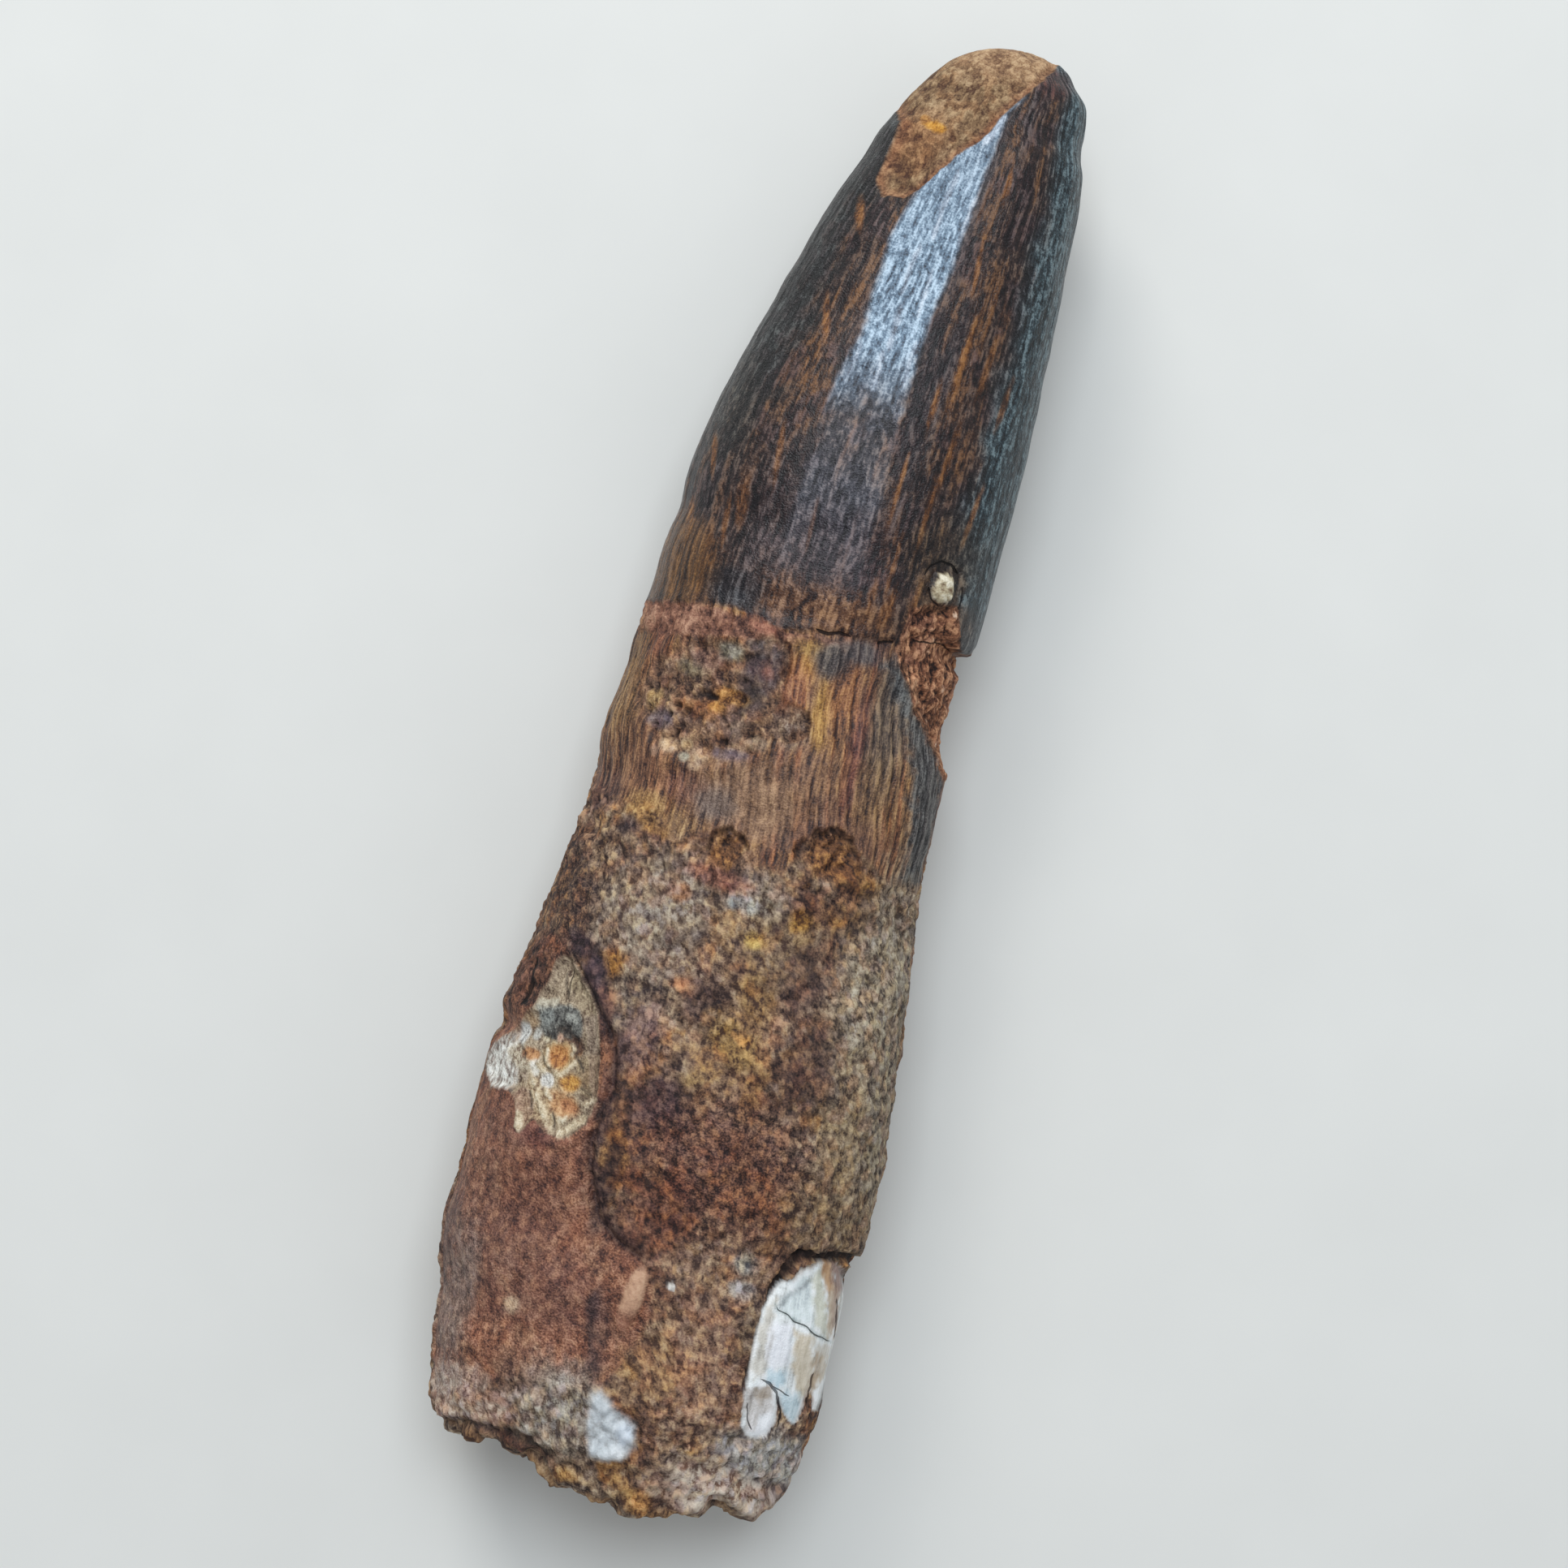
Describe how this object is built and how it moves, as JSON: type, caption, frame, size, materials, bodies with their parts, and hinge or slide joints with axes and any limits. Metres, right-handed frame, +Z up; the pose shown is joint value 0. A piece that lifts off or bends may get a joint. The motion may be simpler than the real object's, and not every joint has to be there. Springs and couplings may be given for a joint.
{
  "type": "fossil spinosaurus tooth",
  "caption": "Fossil conical tooth with a smooth dark enamel crown, a chipped worn tip and a thick, rough, crusted root broken off at its end, lying on its side.",
  "frame": {"origin": "bottom centre of the tooth's box, on the surface it lies on", "axes": "+Y along the tooth from the broken root to the tip, +Z up through its flatter side, +X across it"},
  "size_m": [0.0306, 0.11, 0.0208],
  "materials": {
    "fossil_tooth": "semi-gloss dark brown enamel on the crown, dull rough orange-brown dentine and sandy crust on the root"
  },
  "bodies": {
    "root": {"tooth": "fossil_tooth"}
  },
  "joints": []
}
